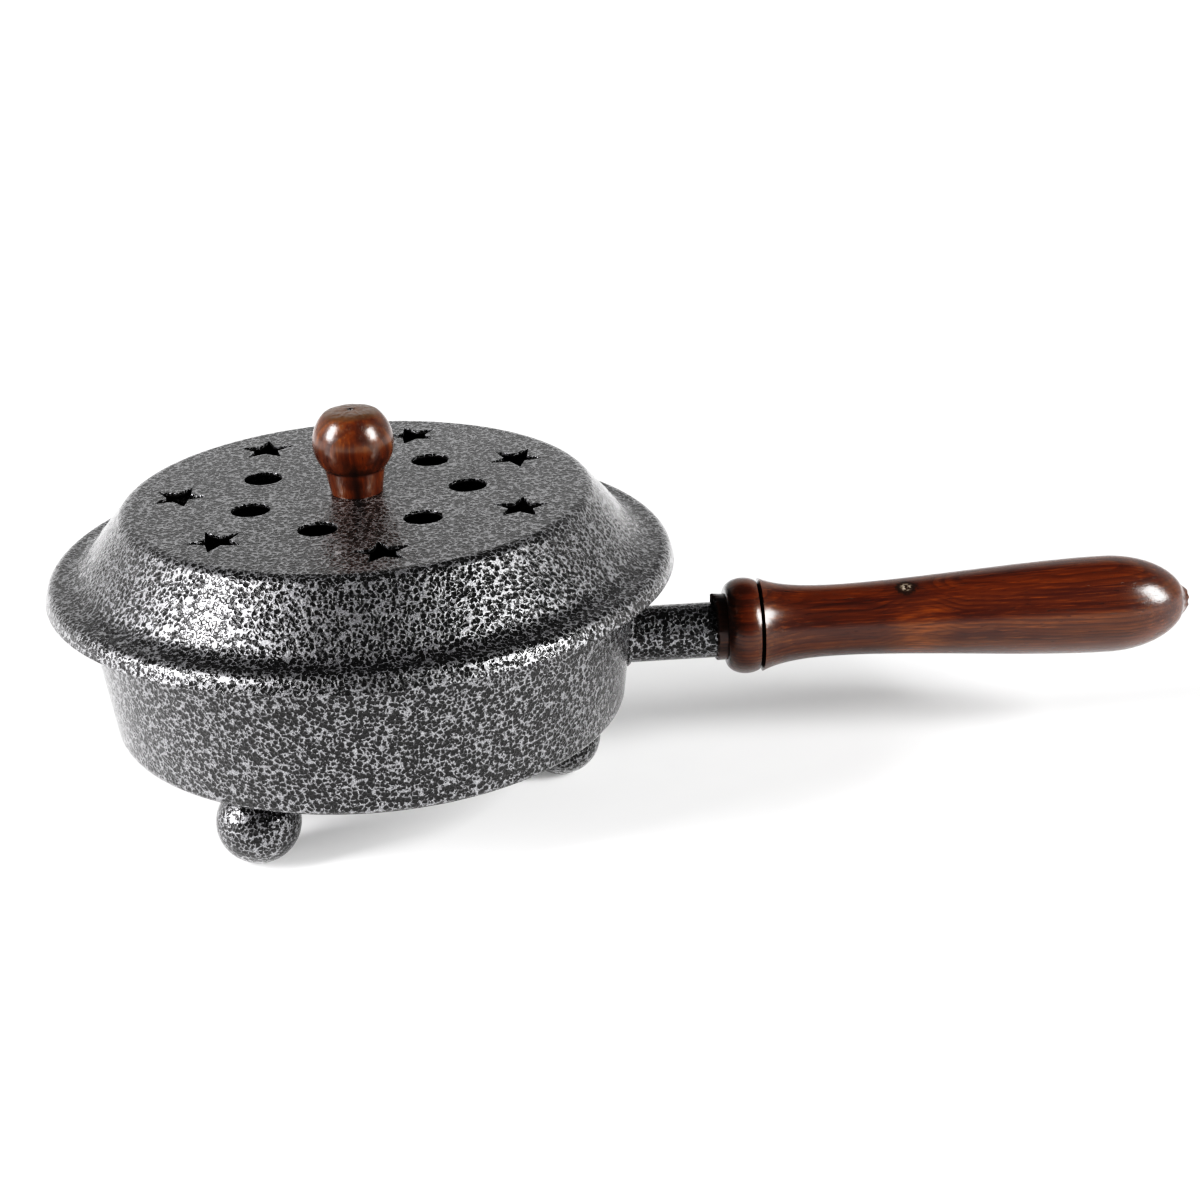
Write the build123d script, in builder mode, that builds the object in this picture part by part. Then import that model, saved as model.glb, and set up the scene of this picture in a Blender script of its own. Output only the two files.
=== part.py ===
from build123d import *

import os
from math import acos, asin, cos, degrees, radians, sin, sqrt

# Charcoal incense pan with a lift-off lid: a pressed steel pan on three ball feet, a tube
# socket welded to its side, a turned wooden handle, and a perforated steel lid with a
# turned wooden knob.
#
# Millimetres, +Z up. The origin is on the pan's axis, at the height that the feet stand on.
# The handle points along +X.

# ---------------------------------------------------------------- driving dimensions

SHEET = 0.9                # lacquered sheet steel of the pan and the lid
EDGE_ROUND = 0.3           # its cut edges, rounded by the lacquer
VENT_EDGE_ROUND = 0.15     # the punched edges of the vents

# Feet: balls screwed on by hand, so the three are a little unevenly spaced
BALL_R = 10.45
FLOOR_Z = 20.6             # underside of the pan's floor, which leaves each ball a small flat seat
FOOT_SPOTS = ((52.9, 238.3), (49.0, 351.6), (51.0, 115.0))   # radius, degrees from +X

# Pan
PAN_FOOT_R = 65.9          # where floor and wall would meet without their bend
PAN_MOUTH_R = 71.0         # where wall and flange would meet without their bend
PAN_BEND_R = 2.5           # outside radius of the bend at the floor
FLANGE_R = 76.2            # outer edge of the flange that carries the lid
FLANGE_BEND_R = 1.2

# Lid, as the outline of its upper surface
LID_TOP_Z = 79.0
CROWN_R = 58.7             # where top plate and cone would meet without their shoulder
SHOULDER_R = 3.5
BRIM_R = 72.2              # where cone and brim would meet without their fillet
BRIM_Z = 62.9
BRIM_FILLET_R = 6.0
LIP_TURN_R = 78.6          # where brim and down-turned lip would meet without their bend
LIP_BEND_R = 3.2
LIP_R = 80.0               # raw outer edge of the lip
LIP_Z = 58.4

# Vents in the lid's top plate: a ring of round holes and a ring of stars, half a pitch apart
VENT_COUNT = 7
HOLE_R = 4.85
HOLE_RING_R = 28.0
HOLE_ANGLES = (151.5, 201.5, 252.0, 307.0, 359.0, 49.0, 100.5)
STAR_R = 7.2
STAR_WAIST_R = 3.2
STAR_RING_R = 45.1
STAR_ANGLES = (177.0, 223.5, 279.5, 335.0, 25.0, 72.5, 124.5)
STAR_POINTS = 5

# Handle axis and the steel socket that the handle is fixed in
HANDLE_Z = 35.5
TUBE_Z = 34.8              # the socket, and the tenon in it, sit a little below the handle's own axis
TUBE_R = 7.35
TUBE_WALL = 1.2
WELD_LEG = 1.0
WELD_SLOPE = 0.6           # the weld falls away towards its outer edge
TUBE_ROOT_X = 62.0         # inside the pan's outline, before the root is coped to the wall

# Turned wooden handle, by distance from the pan's axis
COLLAR_X = 90.6
COLLAR_R = 8.8
COLLAR_CHAMFER = 0.35
BEAD_START_X = 93.1
BEAD_MID_X = 98.2
BEAD_ROOT_R = 9.4
BEAD_HEIGHT = 3.3
GROOVE_X = 102.0
GROOVE_WIDTH = 0.9
GROOVE_R = 10.6            # radius at the bottom of the groove
FLARE_R = 12.35
FLARE_PULLS = ((106.5, 10.4), (113.0, 9.5))      # control points from the flare to the waist
WAIST_X = 122.5
WAIST_R = 9.5
SWELL_PULLS = ((144.0, 9.5), (172.0, 12.9))      # control points from the waist to the swell
SWELL_X = 194.5
SWELL_R = 12.9
BUTT_LENGTH = 21.7         # the butt is half an ellipse this long
NUB_R = 3.6
NUB_END_X = 217.1
NUB_ROUND = 0.7
TENON_LENGTH = 16.0

# Turned wooden knob, by height above the lid's top plate
KNOB_BASE_R = 6.6
KNOB_NECK_H = 6.3
KNOB_R = 10.25
KNOB_MID_H = 13.2
KNOB_CUT_H = 20.8          # where the ball gives way to its flattened top
KNOB_H = 21.7
KNOB_PILOT_DEPTH = 13.0
CENTRE_MARK_R = 0.55       # mark left by the lathe's centre
CENTRE_MARK_DEPTH = 1.0

# Screws, all pan heads with a cross recess
SCREW_CLEARANCE = 0.3      # radial, where a screw passes through sheet steel
RECESS_WIDTH = 0.9
RECESS_DEPTH = 1.3
RIM_SHARE = 0.45           # height of a head's upright rim, as a share of the head
TIP_SHARE = 0.8            # length and width of a screw's taper, as a share of the shank's radius
KNOB_SCREW = {"shank_r": 1.9, "length": 13.5, "head_r": 3.8, "head_h": 2.5}
FOOT_SCREW = {"shank_r": 2.0, "length": 11.0, "head_r": 4.0, "head_h": 2.6}
GRIP_SCREW = {"shank_r": 1.3, "length": 6.5, "head_r": 2.7, "head_h": 1.8}
GRIP_SCREW_X = 84.0
WASHER_R = 5.5
WASHER_THICK = 0.8
WASHER_CHAMFER = 0.15

# ---------------------------------------------------------------- derived sizes

SEAT_Z = BRIM_Z - SHEET                     # top of the flange, where the brim rests
PLATE_UNDERSIDE_Z = LID_TOP_Z - SHEET
PAN_INSIDE_Z = FLOOR_Z + SHEET
TENON_R = TUBE_R - TUBE_WALL

HANDLE_AXIS = Axis((0, 0, HANDLE_Z), (1, 0, 0))
HANDLE_PLANE = Plane(origin=(0, 0, HANDLE_Z), x_dir=(1, 0, 0), z_dir=(0, -1, 0))


def on_circle(radius, angle):
    """A point at a radius and an angle in degrees about an axis."""
    return (radius * cos(radians(angle)), radius * sin(radians(angle)))


def side_of(seat):
    """The plane through a seat's normal, on which round things on that seat are drawn."""
    return Plane(origin=seat.origin, x_dir=seat.x_dir, z_dir=seat.y_dir * -1)


def pan_envelope(grown=0.0):
    """The pan's outer shape as one filled solid, to cope what is welded to its wall."""
    with BuildPart() as envelope:
        with BuildSketch(Plane.XZ):
            with BuildLine():
                Polyline(
                    (0, FLOOR_Z),
                    (PAN_FOOT_R + grown, FLOOR_Z),
                    (PAN_MOUTH_R + grown, SEAT_Z - SHEET),
                    (0, SEAT_Z - SHEET),
                    close=True,
                )
            make_face()
        revolve(axis=Axis.Z)
    return envelope.part


def pan_head_screw(seat, shank_r, length, head_r, head_h):
    """A screw whose head stands on the seat plane and whose shank goes down through it."""
    rim_h = head_h * RIM_SHARE
    tip = shank_r * TIP_SHARE
    with BuildPart() as screw:
        with BuildSketch(side_of(seat)):
            with BuildLine():
                Polyline((0, head_h), (0, -length), (shank_r - tip, -length),
                         (shank_r, tip - length), (shank_r, 0), (head_r, 0), (head_r, rim_h))
                TangentArc((0, head_h), (head_r, rim_h), tangent=(1, 0))
            make_face()
        revolve(axis=Axis(seat.origin, seat.z_dir))
        with BuildSketch(seat.offset(head_h)):
            Rectangle(head_r, RECESS_WIDTH)
            Rectangle(RECESS_WIDTH, head_r)
        extrude(amount=-RECESS_DEPTH, mode=Mode.SUBTRACT)
    return screw.part


def washer(seat, hole_r):
    """A plain washer lying on the seat plane."""
    with BuildPart() as ring:
        with BuildSketch(seat):
            Circle(WASHER_R)
            Circle(hole_r, mode=Mode.SUBTRACT)
        extrude(amount=WASHER_THICK)
        chamfer(ring.edges().filter_by(GeomType.CIRCLE).group_by(SortBy.RADIUS)[-1], WASHER_CHAMFER)
    return ring.part


def save(part, label):
    """Label a finished piece and write it as its own node."""
    part.label = label
    export_step(part, f"parts/{label}.step")


os.makedirs("parts", exist_ok=True)

foot_points = [on_circle(radius, angle) for radius, angle in FOOT_SPOTS]

# ---------------------------------------------------------------- pan

with BuildPart() as pan_body:
    with BuildSketch(Plane.XZ) as pan_profile:
        with BuildLine():
            FilletPolyline(
                (0, FLOOR_Z),
                (PAN_FOOT_R, FLOOR_Z),
                (PAN_MOUTH_R, SEAT_Z - SHEET),
                (FLANGE_R, SEAT_Z - SHEET),
                radius=[PAN_BEND_R, FLANGE_BEND_R],
            )
            offset(amount=SHEET, side=Side.LEFT)
        make_face()
        fillet(pan_profile.vertices().group_by(Axis.X)[-1], EDGE_ROUND)
    revolve(axis=Axis.Z)
    with BuildSketch(Plane.XY.offset(PAN_INSIDE_Z)):
        with Locations(*foot_points):
            Circle(FOOT_SCREW["shank_r"] + SCREW_CLEARANCE)
    extrude(amount=-SHEET, mode=Mode.SUBTRACT)
save(pan_body.part, "pan_body")

# ---------------------------------------------------------------- ball feet and their screws

for number, (x, y) in enumerate(foot_points, start=1):
    with BuildPart() as foot_ball:
        with Locations((x, y, BALL_R)):
            Sphere(BALL_R)
        split(bisect_by=Plane.XY.offset(FLOOR_Z), keep=Keep.BOTTOM)
        with BuildSketch(Plane((x, y, FLOOR_Z))):
            Circle(FOOT_SCREW["shank_r"])
        extrude(amount=-(FOOT_SCREW["length"] - WASHER_THICK - SHEET), mode=Mode.SUBTRACT)
    save(foot_ball.part, f"foot_ball_{number}")

    foot_washer = washer(Plane((x, y, PAN_INSIDE_Z)), FOOT_SCREW["shank_r"] + SCREW_CLEARANCE)
    save(foot_washer, f"foot_washer_{number}")

    foot_screw = pan_head_screw(Plane((x, y, PAN_INSIDE_Z + WASHER_THICK)), **FOOT_SCREW)
    save(foot_screw, f"foot_screw_{number}")

# ---------------------------------------------------------------- handle socket and its weld

grip_screw_seat = Plane(origin=(GRIP_SCREW_X, TUBE_R, TUBE_Z), x_dir=(1, 0, 0), z_dir=(0, 1, 0))

with BuildPart() as handle_socket:
    with BuildSketch(Plane.YZ.offset(TUBE_ROOT_X)):
        with Locations((0, TUBE_Z)):
            Circle(TUBE_R)
            Circle(TENON_R, mode=Mode.SUBTRACT)
    extrude(amount=COLLAR_X - TUBE_ROOT_X)
    add(pan_envelope(), mode=Mode.SUBTRACT)
    with BuildSketch(grip_screw_seat.offset(-TUBE_R)):
        Circle(GRIP_SCREW["shank_r"] + SCREW_CLEARANCE)
    extrude(amount=TUBE_R, mode=Mode.SUBTRACT)
save(handle_socket.part, "handle_socket")

with BuildPart() as socket_weld:
    with BuildSketch(Plane.YZ.offset(TUBE_ROOT_X)):
        with Locations((0, TUBE_Z)):
            Circle(TUBE_R + WELD_LEG)
            Circle(TUBE_R, mode=Mode.SUBTRACT)
    extrude(amount=COLLAR_X - TUBE_ROOT_X)
    add(pan_envelope(grown=WELD_LEG), mode=Mode.INTERSECT)
    add(pan_envelope(), mode=Mode.SUBTRACT)
    weld_side = socket_weld.faces().filter_by(GeomType.CYLINDER).sort_by(SortBy.RADIUS)[-1]
    outer_edge = weld_side.edges().sort_by(Axis.X)[-1]
    chamfer(outer_edge, WELD_SLOPE)
save(socket_weld.part, "socket_weld")

# ---------------------------------------------------------------- turned handle and its screw

bead_length = BEAD_MID_X - BEAD_START_X
groove_start_x = GROOVE_X - GROOVE_WIDTH / 2
flare_x = GROOVE_X + GROOVE_WIDTH / 2
bead_end_angle = degrees(acos((groove_start_x - BEAD_MID_X) / bead_length))
nub_angle = degrees(asin(NUB_R / SWELL_R))

with BuildPart() as handle_grip:
    with BuildSketch(HANDLE_PLANE):
        with BuildLine():
            Polyline(
                (NUB_END_X, 0),
                (COLLAR_X, 0),
                (COLLAR_X, COLLAR_R),
                (BEAD_START_X, COLLAR_R),
                (BEAD_START_X, BEAD_ROOT_R),
            )
            bead = EllipticalCenterArc(
                (BEAD_MID_X, BEAD_ROOT_R),
                bead_length,
                BEAD_HEIGHT,
                start_angle=bead_end_angle,
                arc_size=180 - bead_end_angle,
            )
            groove = Polyline(bead @ 0, (GROOVE_X, GROOVE_R), (flare_x, FLARE_R))
            flare = Bezier(groove @ 1, *FLARE_PULLS, (WAIST_X, WAIST_R))
            Bezier(flare @ 1, *SWELL_PULLS, (SWELL_X, SWELL_R))
            butt = EllipticalCenterArc(
                (SWELL_X, 0),
                BUTT_LENGTH,
                SWELL_R,
                start_angle=nub_angle,
                arc_size=90 - nub_angle,
            )
            nub = Line(butt @ 0, (NUB_END_X - NUB_ROUND, NUB_R))
            TangentArc((NUB_END_X, 0), nub @ 1, tangent=(0, 1))
        make_face()
    revolve(axis=HANDLE_AXIS)
    collar_edge = handle_grip.edges().filter_by(GeomType.CIRCLE).filter_by(
        lambda edge: abs(edge.center().X - COLLAR_X) < 0.01 and edge.radius > TUBE_R)
    chamfer(collar_edge, COLLAR_CHAMFER)
    with BuildSketch(Plane.YZ.offset(COLLAR_X)):
        with Locations((0, TUBE_Z)):
            Circle(TENON_R)
    extrude(amount=-TENON_LENGTH)
    with BuildSketch(grip_screw_seat.offset(-TUBE_WALL)):
        Circle(GRIP_SCREW["shank_r"])
    extrude(amount=TUBE_WALL - GRIP_SCREW["length"], mode=Mode.SUBTRACT)
save(handle_grip.part, "handle_grip")

save(pan_head_screw(grip_screw_seat, **GRIP_SCREW), "grip_screw")

# ---------------------------------------------------------------- lid

with BuildPart() as lid_shell:
    with BuildSketch(Plane.XZ) as lid_profile:
        with BuildLine():
            FilletPolyline(
                (0, LID_TOP_Z),
                (CROWN_R, LID_TOP_Z),
                (BRIM_R, BRIM_Z),
                (LIP_TURN_R, BRIM_Z),
                (LIP_R, LIP_Z),
                radius=[SHOULDER_R, BRIM_FILLET_R, LIP_BEND_R],
            )
            offset(amount=SHEET, side=Side.RIGHT)
        make_face()
        fillet(lid_profile.vertices().sort_by(Axis.Y)[:2], EDGE_ROUND)
    revolve(axis=Axis.Z)
    with BuildSketch(Plane.XY.offset(LID_TOP_Z)):
        Circle(KNOB_SCREW["shank_r"] + SCREW_CLEARANCE)
        for angle in HOLE_ANGLES:
            with Locations(on_circle(HOLE_RING_R, angle)):
                Circle(HOLE_R)
        for angle in STAR_ANGLES:
            tips = [on_circle(STAR_R, 180 + 360 * n / STAR_POINTS) for n in range(STAR_POINTS)]
            waists = [
                on_circle(STAR_WAIST_R, 180 + 360 * (n + 0.5) / STAR_POINTS)
                for n in range(STAR_POINTS)
            ]
            outline = [point for pair in zip(tips, waists) for point in pair]
            with Locations(Location((*on_circle(STAR_RING_R, angle), 0), angle)):
                Polygon(*outline, align=None)
    extrude(amount=-SHEET * 2, mode=Mode.SUBTRACT)
    top_plate = lid_shell.faces().filter_by(Plane.XY).sort_by(Axis.Z)[-1]
    vents = [wire for wire in top_plate.inner_wires() if wire.bounding_box().size.X > HOLE_R]
    fillet([edge for vent in vents for edge in vent.edges()], VENT_EDGE_ROUND)
save(lid_shell.part, "lid_shell")

# ---------------------------------------------------------------- knob, its washer and its screw

with BuildPart() as lid_knob:
    with BuildSketch(Plane.XZ):
        ball_low = (sqrt(KNOB_R ** 2 - (KNOB_MID_H - KNOB_NECK_H) ** 2), LID_TOP_Z + KNOB_NECK_H)
        ball_high = (sqrt(KNOB_R ** 2 - (KNOB_CUT_H - KNOB_MID_H) ** 2), LID_TOP_Z + KNOB_CUT_H)
        with BuildLine():
            Polyline((0, LID_TOP_Z + KNOB_H), (0, LID_TOP_Z), (KNOB_BASE_R, LID_TOP_Z), ball_low)
            ThreePointArc(ball_low, (KNOB_R, LID_TOP_Z + KNOB_MID_H), ball_high)
            TangentArc((0, LID_TOP_Z + KNOB_H), ball_high, tangent=(1, 0))
        make_face()
    revolve(axis=Axis.Z)
    with BuildSketch(Plane.XY.offset(LID_TOP_Z)):
        Circle(KNOB_SCREW["shank_r"])
    extrude(amount=KNOB_PILOT_DEPTH, mode=Mode.SUBTRACT)
    with BuildSketch(Plane.XY.offset(LID_TOP_Z + KNOB_H)):
        Circle(CENTRE_MARK_R)
    extrude(amount=-CENTRE_MARK_DEPTH, mode=Mode.SUBTRACT)
save(lid_knob.part, "lid_knob")

knob_washer_seat = Plane(origin=(0, 0, PLATE_UNDERSIDE_Z), x_dir=(1, 0, 0), z_dir=(0, 0, -1))
save(washer(knob_washer_seat, KNOB_SCREW["shank_r"] + SCREW_CLEARANCE), "knob_washer")
save(pan_head_screw(knob_washer_seat.offset(WASHER_THICK), **KNOB_SCREW), "knob_screw")
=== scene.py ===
from math import acos, asin, ceil, cos, degrees, exp, hypot, pi, radians, sin, tan

import bpy
from mathutils import Matrix, Vector, noise
from mathutils.geometry import interpolate_bezier


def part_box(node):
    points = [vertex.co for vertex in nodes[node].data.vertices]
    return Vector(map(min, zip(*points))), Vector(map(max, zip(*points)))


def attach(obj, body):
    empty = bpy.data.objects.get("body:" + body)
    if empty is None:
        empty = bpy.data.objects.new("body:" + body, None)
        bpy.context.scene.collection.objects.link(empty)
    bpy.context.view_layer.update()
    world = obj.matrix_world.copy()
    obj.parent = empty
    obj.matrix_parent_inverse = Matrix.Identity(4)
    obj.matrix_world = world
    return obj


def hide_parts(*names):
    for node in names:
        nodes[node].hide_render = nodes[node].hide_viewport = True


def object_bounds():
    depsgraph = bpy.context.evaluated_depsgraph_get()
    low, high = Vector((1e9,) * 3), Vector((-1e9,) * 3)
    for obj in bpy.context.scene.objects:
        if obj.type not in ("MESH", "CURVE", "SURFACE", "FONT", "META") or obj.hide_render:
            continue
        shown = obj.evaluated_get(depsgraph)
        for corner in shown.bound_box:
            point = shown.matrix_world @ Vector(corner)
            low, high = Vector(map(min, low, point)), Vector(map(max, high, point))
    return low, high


# A lidded charcoal incense pan in silver and black hammertone lacquer, with a turned wooden
# handle and knob. The CAD nodes carry the lacquer and the zinc. The handle and the knob are
# built here in more detail and stand for their CAD nodes. All sizes are in metres.

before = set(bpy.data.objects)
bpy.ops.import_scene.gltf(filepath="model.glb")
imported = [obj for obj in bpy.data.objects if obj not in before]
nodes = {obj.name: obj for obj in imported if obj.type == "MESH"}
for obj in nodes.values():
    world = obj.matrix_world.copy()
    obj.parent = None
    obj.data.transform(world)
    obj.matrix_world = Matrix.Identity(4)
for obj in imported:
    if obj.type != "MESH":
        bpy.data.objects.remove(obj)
cad_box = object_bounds()

MM = 0.001

# ---------------------------------------------------------------- camera

CAMERA_AIM = Vector((59.6, -17.5, 52.3)) * MM
CAMERA_DISTANCE = 0.55
CAMERA_AZIMUTH = -3.08        # degrees; 0 looks along +Y
CAMERA_ELEVATION = 22.43
CAMERA_ROLL = -2.2
CAMERA_LENS = 65.45           # on a 36 mm sensor


def direction(azimuth, elevation):
    """Unit vector towards an azimuth, in degrees from +X, and an elevation."""
    a, e = radians(azimuth), radians(elevation)
    return Vector((cos(a) * cos(e), sin(a) * cos(e), sin(e)))


def add_camera():
    data = bpy.data.cameras.new("camera")
    data.lens = CAMERA_LENS
    data.sensor_width = 36.0
    data.clip_start = 0.01
    data.clip_end = 200.0
    camera = bpy.data.objects.new("camera", data)
    bpy.context.scene.collection.objects.link(camera)
    back = direction(CAMERA_AZIMUTH - 90, CAMERA_ELEVATION)
    roll = Matrix.Rotation(radians(CAMERA_ROLL), 4, "Z").to_quaternion()
    camera.rotation_mode = "QUATERNION"
    camera.rotation_quaternion = back.to_track_quat("Z", "Y") @ roll
    camera.location = CAMERA_AIM + back * CAMERA_DISTANCE
    bpy.context.scene.camera = camera


# ---------------------------------------------------------------- node helpers


def new_material(name):
    material = bpy.data.materials.new(name)
    material.use_nodes = True
    return material, material.node_tree, material.node_tree.nodes["Principled BSDF"]


def put(tree, kind, inputs=None, output=0, **settings):
    """Add a node, fill its inputs with values or sockets, and return one of its outputs."""
    node = tree.nodes.new("ShaderNode" + kind)
    for key, value in settings.items():
        setattr(node, key, value)
    for key, value in (inputs or {}).items():
        if isinstance(value, bpy.types.NodeSocket):
            tree.links.new(value, node.inputs[key])
        else:
            node.inputs[key].default_value = value
    return node.outputs[output]


def calc(tree, operation, a, b=0.0):
    return put(tree, "Math", {0: a, 1: b}, operation=operation)


def multiply_add(tree, a, b, c):
    return put(tree, "Math", {0: a, 1: b, 2: c}, operation="MULTIPLY_ADD")


def distance_from(tree, value, place):
    """How far a number is from a place, on either side."""
    return calc(tree, "ABSOLUTE", calc(tree, "SUBTRACT", value, place))


def vector_calc(tree, operation, a, b):
    return put(tree, "VectorMath", {0: a, 1: b}, operation=operation)


def length_of(tree, vector):
    return put(tree, "VectorMath", {0: vector}, output=1, operation="LENGTH")


def split(tree, vector):
    """The three parts of a vector, as sockets."""
    parts = put(tree, "SeparateXYZ", {0: vector}).node
    return parts.outputs[0], parts.outputs[1], parts.outputs[2]


def fade(tree, value, low, high, to_low=0.0, to_high=1.0):
    """Smooth step of value from low to high."""
    inputs = {"Value": value, "From Min": low, "From Max": high, "To Min": to_low, "To Max": to_high}
    return put(tree, "MapRange", inputs, interpolation_type="SMOOTHSTEP")


def blend_colour(tree, factor, a, b):
    return put(tree, "Mix", {0: factor, 6: a, 7: b}, output=2, data_type="RGBA")


def grain_noise(tree, where, scale, detail=2.0, roughness=0.5, output=0):
    inputs = {"Vector": where, "Scale": scale, "Detail": detail, "Roughness": roughness}
    return put(tree, "TexNoise", inputs, output=output)


def grey(value):
    return (value, value, value, 1.0)


# ---------------------------------------------------------------- sizes of the turned pieces

HANDLE_Z = (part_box("handle_grip")[0].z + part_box("handle_grip")[1].z) / 2
TUBE_Z = (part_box("handle_socket")[0].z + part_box("handle_socket")[1].z) / 2
TENON_R = 6.15 * MM
COLLAR_X = 90.6 * MM
COLLAR_R = 8.8 * MM
COLLAR_CHAMFER = 0.35 * MM
BEAD_START_X = 93.1 * MM
BEAD_MID_X = 98.2 * MM
BEAD_ROOT_R = 9.4 * MM
BEAD_HEIGHT = 3.3 * MM
GROOVE_X = 102.0 * MM
GROOVE_WIDTH = 0.9 * MM
GROOVE_R = 10.6 * MM
FLARE_R = 12.35 * MM
WAIST_X = 122.5 * MM
WAIST_R = 9.5 * MM
SWELL_X = 194.5 * MM
SWELL_R = 12.9 * MM
BUTT_LENGTH = 21.7 * MM
NUB_R = 3.6 * MM
NUB_END_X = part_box("handle_grip")[1].x
FLARE_PULLS = ((106.5 * MM, 10.4 * MM), (113.0 * MM, 9.5 * MM))
SWELL_PULLS = ((144.0 * MM, 9.5 * MM), (172.0 * MM, 12.9 * MM))
NUB_TURN = 8                  # how many degrees before the nub the butt curves into it
NUB_EDGE_R = 2.9 * MM
NUB_FACE_R = 1.8 * MM
TENON_ROOT = 0.5 * MM         # how far the tenon reaches into the collar
KNOT = Vector((140.5 * MM, -3.3 * MM, HANDLE_Z + 9.9 * MM))

HANDLE_WAVER = 0.03 * MM      # half of how much the turning wavers
CHIP_LENGTH = 0.9 * MM        # how far the chips reach from the collar's front
CHIP_DEPTH = 0.30 * MM
LIP_ANGLE = radians(84)       # where the wood tore out at the collar, from +Y towards +Z
LIP_SPREAD = radians(13)
LIP_LENGTH = 0.9 * MM
TORN_LENGTH = 3.4 * MM        # how much of the nub has torn fibres
TORN_DEPTH = 0.9 * MM
TORN_WASTE = 0.35 * MM        # what the tearing takes off the radius
PIT_R = 2.4 * MM
PIT_DEPTH = 0.16 * MM
PIT_ROUGHNESS = 0.12 * MM

KNOB_BASE_R = 6.6 * MM
KNOB_NECK_H = 6.3 * MM
KNOB_R = 10.25 * MM
KNOB_MID_H = 13.2 * MM
KNOB_CUT_H = 20.8 * MM
KNOB_BASE_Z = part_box("lid_knob")[0].z
KNOB_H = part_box("lid_knob")[1].z - KNOB_BASE_Z
KNOB_PILOT_R = 1.9 * MM
KNOB_PILOT_DEPTH = 13.0 * MM
KNOB_WAVER = 0.05 * MM
SAWN_DEPTH = 1.3 * MM         # how far down the knob's top is rough
DIMPLE_R = 0.9 * MM
DIMPLE_DEPTH = 1.1 * MM

SEGMENTS = 200                # points round a turned piece
HANDLE_STEP = 0.42 * MM       # longest step along an outline
KNOB_STEP = 0.3 * MM
CORNER_TURN = radians(35)     # a sharper turn of an outline gets a sharp edge

# ---------------------------------------------------------------- materials


def floor_material():
    """Matt white paper that also glows: painted light, brighter further out, which evens the paper's
    brightness and lifts the shadows on it.
    """
    material, tree, shader = new_material("studio_floor")
    where = put(tree, "TexCoord", output=3)
    speckle = grain_noise(tree, where, 60.0, 4.0)
    colour = blend_colour(tree, speckle, (0.66, 0.66, 0.665, 1), (0.70, 0.70, 0.70, 1))
    tree.links.new(colour, shader.inputs["Base Color"])
    away = length_of(tree, where)
    # Painted light: the floor's glow, weak near the object and stronger further out.
    tree.links.new(fade(tree, away, 0.2, 3.0, 0.2, 0.75), shader.inputs["Emission Strength"])
    shader.inputs["Emission Color"].default_value = (1.0, 1.0, 1.0, 1.0)
    shader.inputs["Roughness"].default_value = 0.9
    shader.inputs["Specular IOR Level"].default_value = 0.1
    return material


CELL = 1.22 * MM              # grid of the hammertone pattern
CRATER_R = 0.75               # radius of a crater, in cells
SEAM = 0.075                  # half the width of the silver left between two craters, in cells
RELIEF = 0.10 * MM            # depth of the craters

PAN_FOOT_R = 65.9 * MM        # outside radius of the pan's wall at its floor
WALL_SPREAD = 0.1265          # radius that the wall gains per height
CROWN_R = 58.7 * MM           # outside radius of the lid's cone at its top plate
CONE_SPREAD = 0.8385          # radius that the cone gains per depth


def inside_shade_mask(tree, where):
    """One on the surfaces inside the closed pan, where the lacquer is painted nearly black as painted
    shade, and zero outside.
    """
    x, y, height = split(tree, where)
    radius = length_of(tree, put(tree, "CombineXYZ", {0: x, 1: y}))
    floor_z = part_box("pan_body")[0].z
    plate_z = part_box("lid_shell")[1].z
    wall = multiply_add(tree, height, WALL_SPREAD, PAN_FOOT_R - floor_z * WALL_SPREAD)
    cone = multiply_add(tree, height, -CONE_SPREAD, CROWN_R + plate_z * CONE_SPREAD)
    clear = calc(tree, "SUBTRACT", calc(tree, "MINIMUM", wall, cone), radius)
    mask = fade(tree, clear, 0.4 * MM, 0.6 * MM)
    mask = calc(tree, "MULTIPLY", mask, fade(tree, height, floor_z + 0.3 * MM, floor_z + 0.5 * MM))
    return calc(tree, "MULTIPLY", mask, fade(tree, height, plate_z - 0.5 * MM, plate_z - 0.75 * MM))


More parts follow.
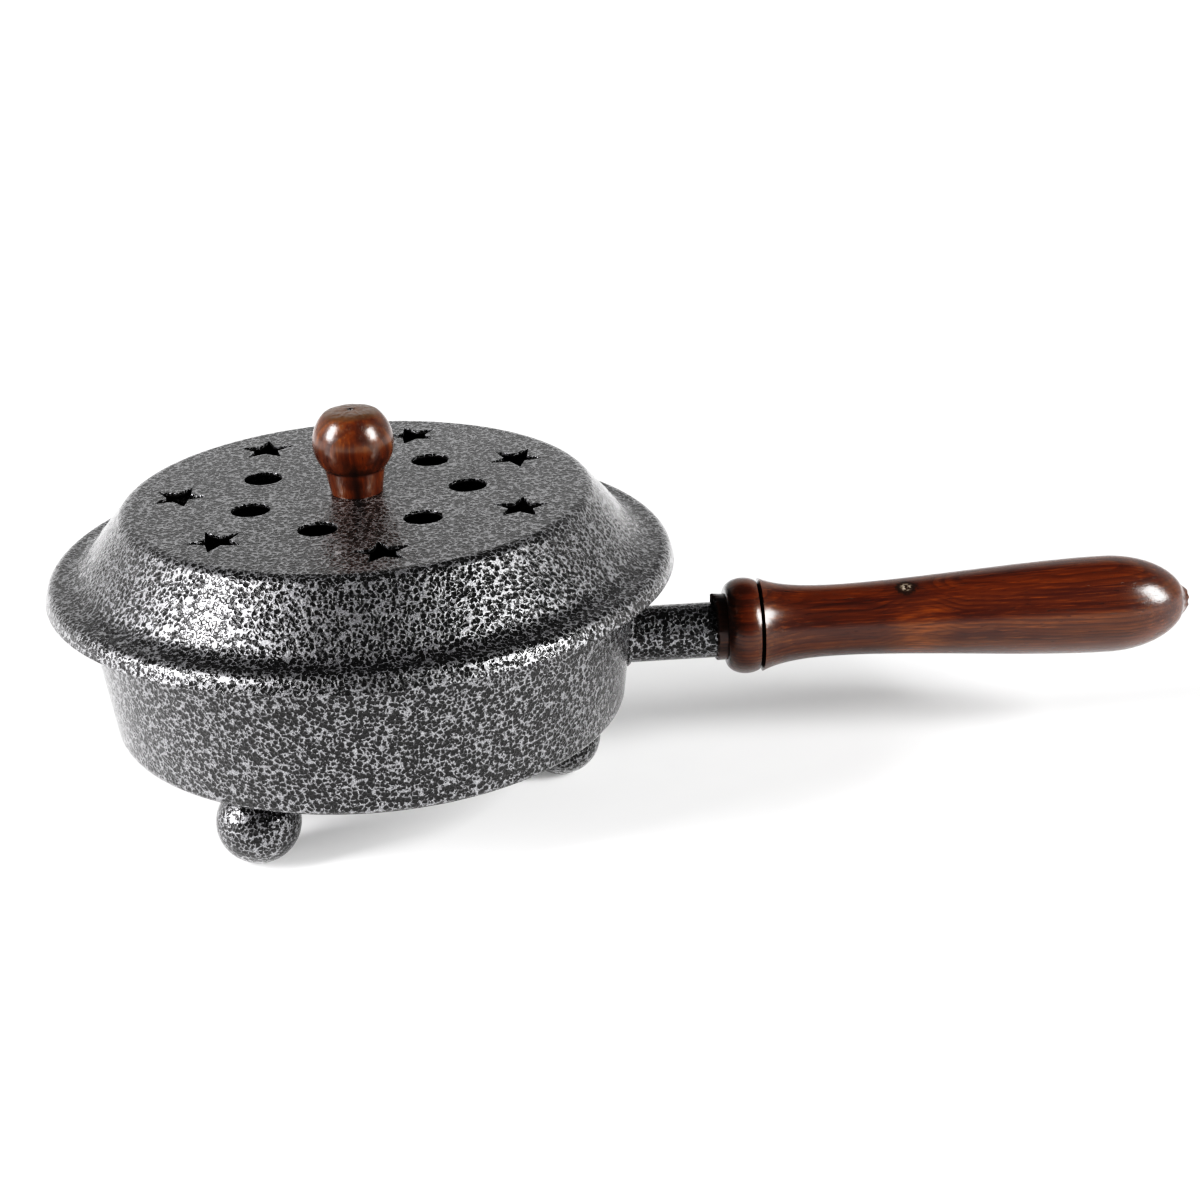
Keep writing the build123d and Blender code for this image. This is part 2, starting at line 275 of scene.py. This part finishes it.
def hammertone_material():
    """Hammertone lacquer: dark craters in silver flake, under a clear gloss that follows the craters."""
    material, tree, shader = new_material("hammertone")
    where = put(tree, "TexCoord", output=3)
    per_cell = 1.0 / CELL

    sway = grain_noise(tree, where, 1.1 * per_cell, 2.0, output=1)
    sway = vector_calc(tree, "SUBTRACT", sway, (0.5, 0.5, 0.5))
    sway = put(tree, "VectorMath", {0: sway, "Scale": 0.3 * CELL}, operation="SCALE")
    swayed = vector_calc(tree, "ADD", where, sway)
    first = put(tree, "TexVoronoi", {"Vector": swayed, "Scale": per_cell}, feature="F1")
    second = put(tree, "TexVoronoi", {"Vector": swayed, "Scale": per_cell}, feature="F2")
    patches = grain_noise(tree, where, 0.3 * per_cell, 2.0)
    inside = calc(tree, "SUBTRACT", fade(tree, patches, 0.3, 0.7, CRATER_R - 0.04, CRATER_R + 0.04), first)
    between = calc(tree, "MULTIPLY", calc(tree, "SUBTRACT", second, first), 0.5)
    merging = grain_noise(tree, where, 0.9 * per_cell, 1.0)
    between = calc(tree, "SUBTRACT", between, fade(tree, merging, 0.35, 0.65, SEAM * 1.4, -SEAM * 0.4))
    field = put(tree, "Math", {0: inside, 1: between, 2: 0.04}, operation="SMOOTH_MIN")
    ragged = grain_noise(tree, where, 4.0 * per_cell, 3.0)
    field = calc(tree, "ADD", field, fade(tree, ragged, 0.3, 0.7, -0.05, 0.05))
    crater = fade(tree, field, -0.03, 0.01)

    flake = grain_noise(tree, where, 5.0 * per_cell, 2.0, 0.7)
    shine = fade(tree, flake, 0.36, 0.64)
    silver = blend_colour(tree, shine, (0.075, 0.075, 0.079, 1), (0.35, 0.35, 0.36, 1))
    # Painted light and shade: a crater's dark pigment is painted darker on its rim and lighter in its flat
    # centre, standing for the shade on the rim's slope and the reflection in the centre.
    crater_rim_and_centre_light = calc(tree, "MULTIPLY", fade(tree, flake, 0.35, 0.7), fade(tree, field, 0.10, 0.25))
    dark = blend_colour(tree, crater_rim_and_centre_light, grey(0.001), grey(0.010))
    colour = blend_colour(tree, crater, silver, dark)
    # Painted shade: the inside of the closed pan is painted nearly black, with no metal and little coat.
    painted_inside_shade = inside_shade_mask(tree, where)
    colour = blend_colour(tree, painted_inside_shade, colour, (0.005, 0.0045, 0.004, 1))
    tree.links.new(colour, shader.inputs["Base Color"])
    clean = calc(tree, "SUBTRACT", 1.0, painted_inside_shade)
    metal = calc(tree, "MULTIPLY", fade(tree, crater, 0.0, 1.0, 0.85, 0.0), clean)
    tree.links.new(metal, shader.inputs["Metallic"])
    roughness = fade(tree, crater, 0.0, 1.0, 0.40, 0.6)
    tree.links.new(multiply_add(tree, painted_inside_shade, 0.3, roughness), shader.inputs["Roughness"])

    height = fade(tree, field, -0.06, 0.20, 1.0, 0.0)
    relief = put(tree, "Bump", {"Strength": 1.0, "Distance": RELIEF, "Height": height})
    tree.links.new(relief, shader.inputs["Normal"])
    tree.links.new(relief, shader.inputs["Coat Normal"])
    shader.inputs["Specular IOR Level"].default_value = 0.1
    tree.links.new(fade(tree, painted_inside_shade, 0.0, 1.0, 1.0, 0.05), shader.inputs["Coat Weight"])
    shader.inputs["Coat Roughness"].default_value = 0.07
    shader.inputs["Coat IOR"].default_value = 1.38
    return material


LATE_WOOD_AND_CREASE_SHADE = (0.018, 0.006, 0.004, 1)      # the dark part of a growth ring, and painted shade in the knob's crease
PORE_AND_CORNER_SHADE = (0.010, 0.004, 0.003, 1)          # pores, and painted shade in corners


def wood_material(name, along, pith, ring_gap, dark, light, rise, tint):
    """Stained, varnished wood with its grain along one axis of the frame. Its growth rings are
    centred on the pith, a place across the grain. rise shifts the rings and tint finishes the
    colour. Both get the place along the grain as u and across it as v and w."""
    material, tree, shader = new_material(name)
    where = put(tree, "TexCoord", output=3)
    parts = split(tree, where)
    grain_axis = "XYZ".index(along)
    u, v, w = [parts[(grain_axis + turn) % 3] for turn in range(3)]

    def stretched(u_scale, v_scale):
        return put(tree, "CombineXYZ", {
            0: calc(tree, "MULTIPLY", u, u_scale),
            1: calc(tree, "MULTIPLY", v, v_scale),
            2: calc(tree, "MULTIPLY", w, v_scale),
        })

    sideways = calc(tree, "SUBTRACT", v, pith[0])
    upwards = calc(tree, "SUBTRACT", w, pith[1])
    ring = length_of(tree, put(tree, "CombineXYZ", {0: sideways, 1: upwards}))
    wander = grain_noise(tree, stretched(16.0, 60.0), 1.0, 3.0)
    ring = calc(tree, "ADD", ring, fade(tree, wander, 0.2, 0.8, -1.1 * MM, 1.1 * MM))
    ring = calc(tree, "SUBTRACT", ring, rise(tree, u))
    phase = calc(tree, "FRACT", calc(tree, "DIVIDE", ring, ring_gap))
    late = calc(tree, "MULTIPLY", fade(tree, phase, 0.25, 0.85), fade(tree, phase, 1.0, 0.9))
    strength = grain_noise(tree, stretched(25.0, 260.0), 1.0, 2.0)
    late = calc(tree, "MULTIPLY", late, fade(tree, strength, 0.3, 0.7, 0.2, 0.65))

    bands = grain_noise(tree, stretched(14.0, 260.0), 1.0, 3.0, 0.6)
    fibre = grain_noise(tree, stretched(70.0, 1700.0), 1.0, 3.0, 0.6)
    colour = blend_colour(tree, fade(tree, bands, 0.33, 0.67), dark, light)
    glow = blend_colour(tree, 0.5, light, (0.21, 0.058, 0.009, 1))
    colour = blend_colour(tree, fade(tree, fibre, 0.50, 0.78, 0.0, 0.6), colour, glow)
    colour = blend_colour(tree, fade(tree, fibre, 0.48, 0.25, 0.0, 0.5), colour, dark)
    colour = blend_colour(tree, late, colour, LATE_WOOD_AND_CREASE_SHADE)
    pores = grain_noise(tree, stretched(260.0, 3200.0), 1.0, 1.0)
    pore = fade(tree, pores, 0.66, 0.74)
    colour = blend_colour(tree, calc(tree, "MULTIPLY", pore, 0.7), colour, PORE_AND_CORNER_SHADE)
    colour = tint(tree, where, u, v, w, fibre, colour)
    tree.links.new(colour, shader.inputs["Base Color"])

    grit = grain_noise(tree, where, 2400.0, 2.0)
    skin = calc(tree, "ADD", calc(tree, "MULTIPLY", grit, 0.6), calc(tree, "MULTIPLY", fibre, 0.35))
    skin = calc(tree, "SUBTRACT", skin, calc(tree, "MULTIPLY", pore, 0.5))
    relief = put(tree, "Bump", {"Strength": 1.0, "Distance": 0.045 * MM, "Height": skin})
    tree.links.new(relief, shader.inputs["Normal"])
    tree.links.new(relief, shader.inputs["Coat Normal"])
    shader.inputs["Roughness"].default_value = 0.55
    shader.inputs["Specular IOR Level"].default_value = 0.1
    shader.inputs["Coat Weight"].default_value = 1.0
    shader.inputs["Coat Roughness"].default_value = 0.2
    shader.inputs["Coat IOR"].default_value = 1.4
    return material


def handle_rise(tree, u):
    """How far the grain of the handle climbs towards its knot."""
    beside = distance_from(tree, u, KNOT.x + 2.5 * MM)
    return fade(tree, beside, 13 * MM, 0.0, 0.0, 2.6 * MM)


def handle_tint(tree, where, u, v, w, fibre, colour):
    """The knot, the warm patch under it, and painted shade in the groove, on the collar and at the collar's
    front.
    """
    beside = distance_from(tree, u, KNOT.x + 3.0 * MM)
    under = fade(tree, w, KNOT.z, KNOT.z - 9 * MM)
    warm = calc(tree, "MULTIPLY", fade(tree, beside, 11 * MM, 1 * MM), under)
    warm = calc(tree, "MULTIPLY", warm, fade(tree, fibre, 0.35, 0.65, 0.1, 0.6))
    colour = blend_colour(tree, warm, colour, (0.16, 0.044, 0.008, 1))

    away = put(tree, "VectorMath", {0: where, 1: KNOT}, output=1, operation="DISTANCE")
    mottle = grain_noise(tree, where, 1500.0, 3.0, 0.7)
    ragged = calc(tree, "ADD", away, fade(tree, mottle, 0.25, 0.75, -0.8 * MM, 0.8 * MM))
    halo = fade(tree, ragged, 9.0 * MM, 3.0 * MM, 0.0, 0.55)
    colour = blend_colour(tree, halo, colour, (0.030, 0.010, 0.006, 1))
    bark = fade(tree, ragged, 3.4 * MM, 2.2 * MM, 0.0, 0.92)
    colour = blend_colour(tree, bark, colour, (0.012, 0.007, 0.005, 1))
    heart = calc(tree, "MULTIPLY", fade(tree, ragged, 2.2 * MM, 1.2 * MM), fade(tree, mottle, 0.46, 0.60))
    colour = blend_colour(tree, heart, colour, (0.28, 0.24, 0.19, 1))

    # Painted shade: the groove, the collar and the collar's front edge are darkened.
    groove = fade(tree, distance_from(tree, u, GROOVE_X), 0.6 * MM, 0.25 * MM, 0.0, 0.55)
    collar = fade(tree, u, BEAD_START_X + 1.2 * MM, BEAD_START_X - 0.3 * MM, 0.0, 0.3)
    front = fade(tree, u, COLLAR_X + 0.7 * MM, COLLAR_X + 0.1 * MM, 0.0, 0.75)
    groove_and_collar_shade = calc(tree, "MAXIMUM", calc(tree, "MAXIMUM", groove, collar), front)
    return blend_colour(tree, groove_and_collar_shade, colour, PORE_AND_CORNER_SHADE)


def knob_rise(tree, u):
    """The slant of the knob's grain."""
    return calc(tree, "MULTIPLY", u, 0.22)


def knob_tint(tree, where, u, v, w, fibre, colour):
    """Dark clouds in the knob, a dark line down its neck, painted shade in the crease under the ball and in
    the top's dimple, and its dull sawn top.
    """
    top = KNOB_BASE_Z + KNOB_H
    clouds = grain_noise(tree, where, 130.0, 3.0, 0.6)
    colour = blend_colour(tree, fade(tree, clouds, 0.45, 0.68, 0.0, 0.75), colour, (0.022, 0.007, 0.004, 1))
    line = fade(tree, distance_from(tree, v, 0.4 * MM), 1.1 * MM, 0.1 * MM, 0.0, 0.8)
    line = calc(tree, "MULTIPLY", line, fade(tree, u, KNOB_BASE_Z + 12 * MM, KNOB_BASE_Z + 6 * MM))
    colour = blend_colour(tree, line, colour, LATE_WOOD_AND_CREASE_SHADE)
    # Painted shade: a dark line in the crease under the ball.
    shade_under_ball = distance_from(tree, u, KNOB_BASE_Z + KNOB_NECK_H)
    colour = blend_colour(tree, fade(tree, shade_under_ball, 1.0 * MM, 0.1 * MM, 0.0, 0.5), colour, LATE_WOOD_AND_CREASE_SHADE)
    dust = fade(tree, u, top - 1.6 * MM, top - 0.6 * MM, 0.0, 0.75)
    grit = grain_noise(tree, where, 1300.0, 3.0, 0.7)
    dull = blend_colour(tree, grit, (0.020, 0.012, 0.008, 1), (0.10, 0.058, 0.034, 1))
    colour = blend_colour(tree, dust, colour, dull)
    # Painted shade: the dimple in the top is painted nearly black.
    middle = length_of(tree, put(tree, "CombineXYZ", {0: v, 1: w}))
    dimple = fade(tree, middle, 1.2 * MM, 0.7 * MM, 0.0, 0.95)
    return blend_colour(tree, dimple, colour, (0.008, 0.005, 0.004, 1))


def zinc_material():
    material, tree, shader = new_material("zinc")
    where = put(tree, "TexCoord", output=3)
    cloud = grain_noise(tree, where, 900.0, 3.0)
    colour = blend_colour(tree, cloud, (0.50, 0.51, 0.50, 1), (0.72, 0.71, 0.68, 1))
    tree.links.new(colour, shader.inputs["Base Color"])
    tree.links.new(fade(tree, cloud, 0.3, 0.7, 0.22, 0.42), shader.inputs["Roughness"])
    shader.inputs["Metallic"].default_value = 1.0
    return material


# ---------------------------------------------------------------- turned pieces


def cubic(start, pull_a, pull_b, end, count):
    """Points along a cubic curve, without its start."""
    corners = [Vector(point) for point in (start, pull_a, pull_b, end)]
    return [tuple(point) for point in interpolate_bezier(*corners, count + 1)][1:]


def ellipse(centre, radii, start, end, count):
    """Points along part of an ellipse, from one angle in degrees to another, both included."""
    angles = [radians(start + (end - start) * n / count) for n in range(count + 1)]
    return [(centre[0] + radii[0] * cos(angle), centre[1] + radii[1] * sin(angle)) for angle in angles]


def filled_in(outline, step):
    """The outline with points added so that none of its steps is longer than step."""
    points = [outline[0]]
    for start, end in zip(outline, outline[1:]):
        count = max(1, ceil(hypot(end[0] - start[0], end[1] - start[1]) / step))
        for n in range(1, count + 1):
            along = start[0] + (end[0] - start[0]) * n / count
            radius = start[1] + (end[1] - start[1]) * n / count
            points.append((along, radius))
    return points


def is_corner(before, here, after):
    """Whether an outline turns by more than CORNER_TURN at a point."""
    turn = Vector(here) - Vector(before)
    turned = Vector(after) - Vector(here)
    return turn.angle(turned, 0.0) > CORNER_TURN


def turned_piece(name, outlines, segments, step, place):
    """A turned solid. Each outline runs from the axis back to the axis as (along, radius), and
    place(part, along, radius, angle) gives the worn place of one of its points."""
    vertices, faces, sharp = [], [], []
    for part, outline in enumerate(outlines):
        outline = filled_in(outline, step)
        first = len(vertices)
        vertices.append(place(part, *outline[0], 0.0))
        for along, radius in outline[1:-1]:
            for n in range(segments):
                vertices.append(place(part, along, radius, 2 * pi * n / segments))
        vertices.append(place(part, *outline[-1], 0.0))
        last = len(vertices) - 1
        rings = len(outline) - 2
        for n in range(segments):
            after = (n + 1) % segments
            faces.append((first, first + 1 + after, first + 1 + n))
            for ring in range(rings - 1):
                low = first + 1 + ring * segments
                faces.append((low + n, low + after, low + segments + after, low + segments + n))
            low = first + 1 + (rings - 1) * segments
            faces.append((low + n, low + after, last))
        for ring in range(rings):
            if is_corner(*outline[ring:ring + 3]):
                low = first + 1 + ring * segments
                sharp += [tuple(sorted((low + n, low + (n + 1) % segments))) for n in range(segments)]
    mesh = bpy.data.meshes.new(name)
    mesh.from_pydata(vertices, [], faces)
    mesh.shade_smooth()
    sharp = set(sharp)
    for edge in mesh.edges:
        edge.use_edge_sharp = tuple(sorted(edge.vertices)) in sharp
    piece = bpy.data.objects.new(name, mesh)
    bpy.context.scene.collection.objects.link(piece)
    return piece


def bump_at(x, y, z):
    """Soft random number between about -1 and 1."""
    return noise.noise(Vector((x, y, z)))


def place_handle(part, along, radius, angle):
    """The handle wavers a little, is chipped at the collar, torn at the nub and pitted at its knot.
    Part 1 is the tenon, which stays as it is."""
    if part == 1:
        return Vector((along, radius * cos(angle), TUBE_Z + radius * sin(angle)))
    around = Vector((0.0, cos(angle), sin(angle)))
    radius -= HANDLE_WAVER * (1 + bump_at(along * 25, 2 * cos(angle), 2 * sin(angle)))
    if radius > TENON_R:
        front = exp(-((along - COLLAR_X) / CHIP_LENGTH) ** 2)
        chips = bump_at(5 * cos(angle), 5 * sin(angle), 0.3)
        chips += 0.6 * bump_at(17 * cos(angle), 17 * sin(angle), 2.3)
        lip = exp(-((angle - LIP_ANGLE) / LIP_SPREAD) ** 2)
        along -= front * (CHIP_DEPTH * (0.6 + chips) + LIP_LENGTH * lip)
        radius += front * (CHIP_DEPTH / 2 * chips + LIP_LENGTH / 2 * lip)
    end = max(0.0, (along - (NUB_END_X - TORN_LENGTH)) / TORN_LENGTH)
    torn = 0.5 + 0.5 * bump_at(700 * radius * cos(angle), 700 * radius * sin(angle), 150 * along)
    along -= TORN_DEPTH * end * torn
    radius -= TORN_WASTE * end * torn
    point = Vector((along, 0.0, HANDLE_Z)) + around * radius
    away = (point - KNOT).length
    pit = max(0.0, 1 - (away / PIT_R) ** 2)
    rough = bump_at(point.x * 2200, point.y * 2200, point.z * 2200)
    return point - around * pit * (PIT_DEPTH + PIT_ROUGHNESS * rough)


def handle_outline():
    """From the collar's front to the nub: collar, bead, groove, flare, waist, swell, butt, nub."""
    bead_length = BEAD_MID_X - BEAD_START_X
    bead_end = degrees(acos((GROOVE_X - GROOVE_WIDTH / 2 - BEAD_MID_X) / bead_length))
    nub_angle = degrees(asin(NUB_R / SWELL_R))
    flare = (GROOVE_X + GROOVE_WIDTH / 2, FLARE_R)
    waist = (WAIST_X, WAIST_R)
    swell = (SWELL_X, SWELL_R)
    outline = [(COLLAR_X, 0.0), (COLLAR_X, COLLAR_R - COLLAR_CHAMFER)]
    outline += [(COLLAR_X + COLLAR_CHAMFER, COLLAR_R), (BEAD_START_X, COLLAR_R)]
    outline += ellipse((BEAD_MID_X, BEAD_ROOT_R), (bead_length, BEAD_HEIGHT), 180, bead_end, 26)
    outline += [(GROOVE_X, GROOVE_R), flare]
    outline += cubic(flare, *FLARE_PULLS, waist, 30)
    outline += cubic(waist, *SWELL_PULLS, swell, 60)
    butt = ellipse((SWELL_X, 0), (BUTT_LENGTH, SWELL_R), 90, nub_angle + NUB_TURN, 40)[1:]
    outline += butt
    pulls = ((NUB_END_X - 1.8 * MM, NUB_R), (NUB_END_X - 0.7 * MM, NUB_R))
    outline += cubic(butt[-1], *pulls, (NUB_END_X - 0.3 * MM, NUB_EDGE_R), 8)
    outline += [(NUB_END_X, NUB_FACE_R), (NUB_END_X, 0.0)]
    return outline


def tenon_outline():
    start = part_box("handle_grip")[0].x
    end = COLLAR_X + TENON_ROOT
    return [(start, 0.0), (start, TENON_R), (end, TENON_R), (end, 0.0)]


def place_knob(part, along, radius, angle):
    """The knob wavers a little and has a rough sawn top. It has only one part."""
    rim = max(0.0, along - (KNOB_H - SAWN_DEPTH)) / SAWN_DEPTH
    saw = bump_at(900 * radius * cos(angle), 900 * radius * sin(angle), 1.7)
    rays = bump_at(9 * cos(angle), 9 * sin(angle), 5.1)
    along -= rim * MM * (0.13 + 0.10 * saw + 0.05 * rays)
    radius -= KNOB_WAVER * (1 + bump_at(2 * cos(angle), 2 * sin(angle), along * 160))
    return Vector((radius * cos(angle), radius * sin(angle), KNOB_BASE_Z + along))


def knob_outline():
    """From the screw's pilot hole, over neck and ball, to the dimple in the sawn top."""
    low = degrees(asin((KNOB_NECK_H - KNOB_MID_H) / KNOB_R))
    high = degrees(asin((KNOB_CUT_H - KNOB_MID_H) / KNOB_R))
    ball = ellipse((KNOB_MID_H, 0.0), (KNOB_R, KNOB_R), 90 - low, 90 - high, 60)
    outline = [(KNOB_PILOT_DEPTH, 0.0), (KNOB_PILOT_DEPTH, KNOB_PILOT_R)]
    outline += [(0.0, KNOB_PILOT_R), (0.0, KNOB_BASE_R)]
    outline += ball
    pulls = ((KNOB_H - 0.1 * MM, 5.6 * MM), (KNOB_H, 3.2 * MM))
    outline += cubic(ball[-1], *pulls, (KNOB_H, DIMPLE_R), 16)
    outline += [(KNOB_H - 0.3 * MM, 0.65 * MM), (KNOB_H - 1.0 * MM, 0.4 * MM)]
    outline += [(KNOB_H - DIMPLE_DEPTH, 0.0)]
    return outline


def add_turned_pieces():
    outlines = [handle_outline(), tenon_outline()]
    handle = turned_piece("turned_handle", outlines, SEGMENTS, HANDLE_STEP, place_handle)
    handle.data.materials.append(wood_material(
        "handle_wood_look", "X", (14 * MM, -45 * MM), 1.1 * MM,
        (0.030, 0.008, 0.004, 1), (0.062, 0.017, 0.005, 1), handle_rise, handle_tint))
    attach(handle, "pan")
    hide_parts("handle_grip")

    knob = turned_piece("turned_knob", [knob_outline()], SEGMENTS, KNOB_STEP, place_knob)
    knob.data.materials.append(wood_material(
        "knob_wood_look", "Z", (-6 * MM, 30 * MM), 2.3 * MM,
        (0.036, 0.010, 0.004, 1), (0.088, 0.025, 0.005, 1), knob_rise, knob_tint))
    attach(knob, "lid")
    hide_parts("lid_knob")


# ---------------------------------------------------------------- studio

STUDIO_CENTRE = Vector((20, 0, 60)) * MM
FLOOR_HALF = 30.0
FLOOR_GAP = 0.02 * MM         # keeps the floor from touching the balls

# The picture's contrast as (scene value, shown value): shadows down, highlights up a little.
TONE = ((0.042, 0.014), (0.1, 0.07), (0.3, 0.32), (0.6, 0.7))


def add_softbox(name, azimuth, elevation, distance, width_deg, height_deg, radiance, colour):
    """A rectangular softbox that faces the object, given by the angles it fills as seen from there."""
    data = bpy.data.lights.new(name, "AREA")
    data.shape = "RECTANGLE"
    data.size = 2 * distance * tan(radians(width_deg / 2))
    data.size_y = 2 * distance * tan(radians(height_deg / 2))
    data.energy = radiance * pi * data.size * data.size_y
    data.color = colour
    light = bpy.data.objects.new(name, data)
    bpy.context.scene.collection.objects.link(light)
    towards = direction(azimuth, elevation)
    light.location = STUDIO_CENTRE + towards * distance
    light.rotation_mode = "QUATERNION"
    light.rotation_quaternion = towards.to_track_quat("Z", "Y")
    light.visible_camera = False


def add_floor():
    half = FLOOR_HALF
    mesh = bpy.data.meshes.new("floor")
    corners = [(-half, -half, 0), (half, -half, 0), (half, half, 0), (-half, half, 0)]
    mesh.from_pydata(corners, [], [(0, 1, 2, 3)])
    floor = bpy.data.objects.new("floor", mesh)
    bpy.context.scene.collection.objects.link(floor)
    floor.location.z = cad_box[0].z - FLOOR_GAP
    floor.data.materials.append(floor_material())


def add_world():
    """A bright backdrop behind the object, and a dim room that brightens towards the horizon."""
    world = bpy.data.worlds.new("studio")
    bpy.context.scene.world = world
    world.use_nodes = True
    tree = world.node_tree
    background = tree.nodes["Background"]
    towards = put(tree, "TexCoord", output=0)
    _, away, up = split(tree, towards)
    backdrop = calc(tree, "MULTIPLY", fade(tree, away, -0.1, 0.5), fade(tree, up, 0.8, 0.5))
    front = fade(tree, up, 0.0, 0.30, 0.65, 0.07)
    level = calc(tree, "MAXIMUM", front, calc(tree, "MULTIPLY", backdrop, 0.72))
    colour = put(tree, "CombineColor", {0: level, 1: level, 2: level})
    tree.links.new(colour, background.inputs["Color"])
    background.inputs["Strength"].default_value = 1.0


def set_tone():
    """The contrast of a catalogue picture: shadows pressed down, highlights lifted a little."""
    view = bpy.context.scene.view_settings
    view.view_transform = "Standard"
    view.use_curve_mapping = True
    curve = view.curve_mapping.curves[3]
    for scene_value, shown in TONE:
        curve.points.new(scene_value, shown)
    view.curve_mapping.update()


# ---------------------------------------------------------------- run

add_camera()
add_softbox("softbox_left", -162, 27, 2.4, 19, 33, 42.0, (1.0, 0.99, 1.0))
add_softbox("softbox_right", -25, 24, 2.4, 17, 28, 40.0, (1.0, 1.0, 0.99))
add_floor()
add_world()
set_tone()

looks = {
    "hammertone_lacquer": hammertone_material(),
    "zinc_steel": zinc_material(),
}
for node in nodes.values():
    for slot in node.material_slots:
        slot.material = looks.get(slot.material.name, slot.material)
add_turned_pieces()
